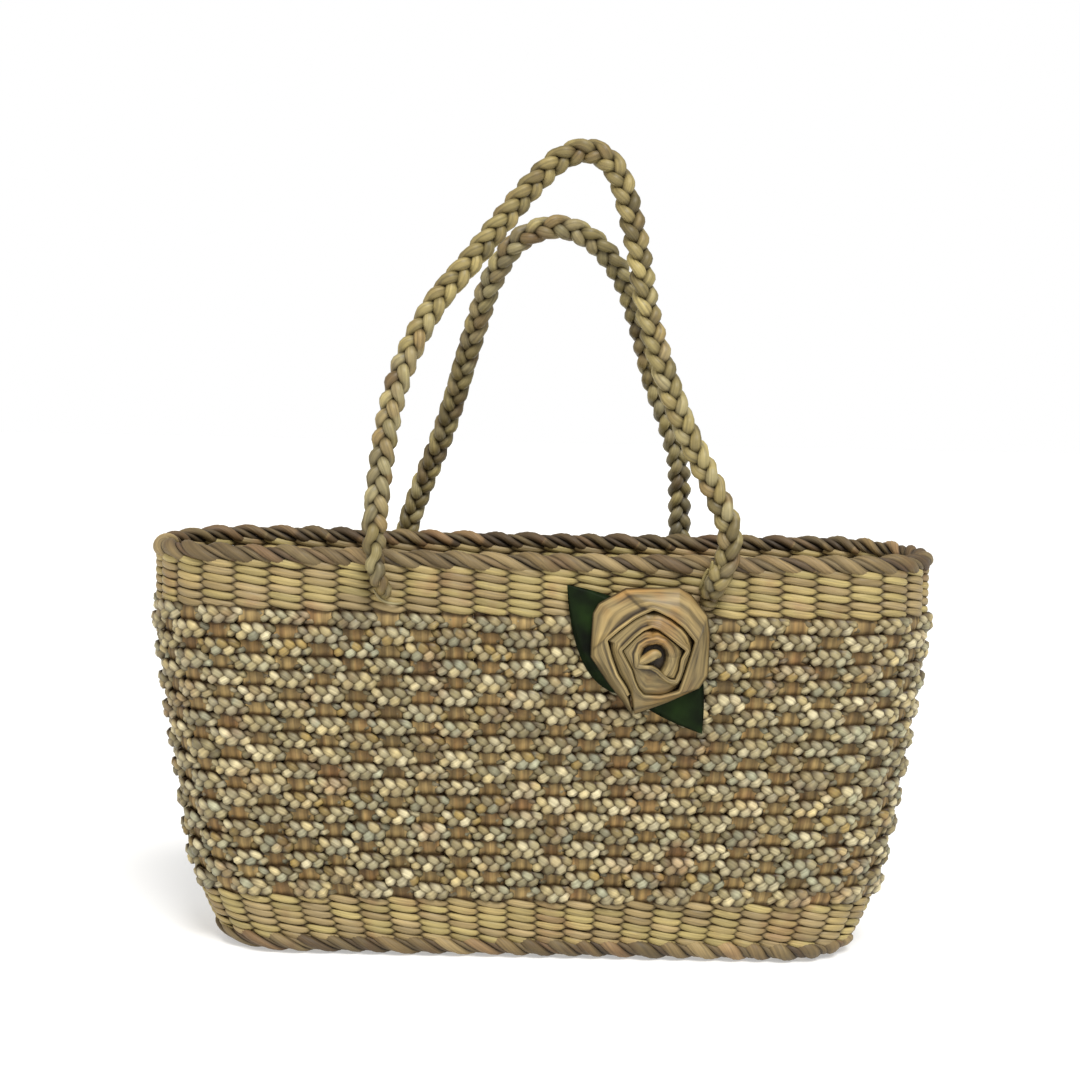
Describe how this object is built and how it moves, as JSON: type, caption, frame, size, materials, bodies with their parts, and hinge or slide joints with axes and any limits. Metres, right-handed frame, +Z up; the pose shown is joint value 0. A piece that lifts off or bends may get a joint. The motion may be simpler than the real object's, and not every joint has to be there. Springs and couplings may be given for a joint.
{
  "type": "straw basket bag",
  "caption": "Open woven straw tote with a checkerboard of braid and stakes between twined bands, braided carrying handles, and a ribbon rose with leaves.",
  "frame": {"origin": "middle of the flat underside, on the surface that the bag stands on", "axes": "+Z up, X along the mouth with +X on the right as seen from the front, the front wall with the rose facing -Y"},
  "size_m": [0.446, 0.1687, 0.4539],
  "materials": {
    "straw": "dry plaited rush straw, pale olive yellow, dull satin",
    "dark_straw": "dry twisted rush straw, grey-brown, dull",
    "straw_ribbon": "folded flat straw ribbon, khaki, dull satin",
    "green_cloth": "dark green satin cloth"
  },
  "bodies": {
    "root": {"base_mat": "straw", "foot_border": "dark_straw", "lower_band": "straw", "braid_wall": "straw", "upper_band": "straw", "rim_border": "dark_straw", "handle_front": "straw", "handle_back": "straw", "rose": "straw_ribbon", "leaf_upper": "green_cloth", "leaf_lower": "green_cloth"}
  },
  "joints": []
}
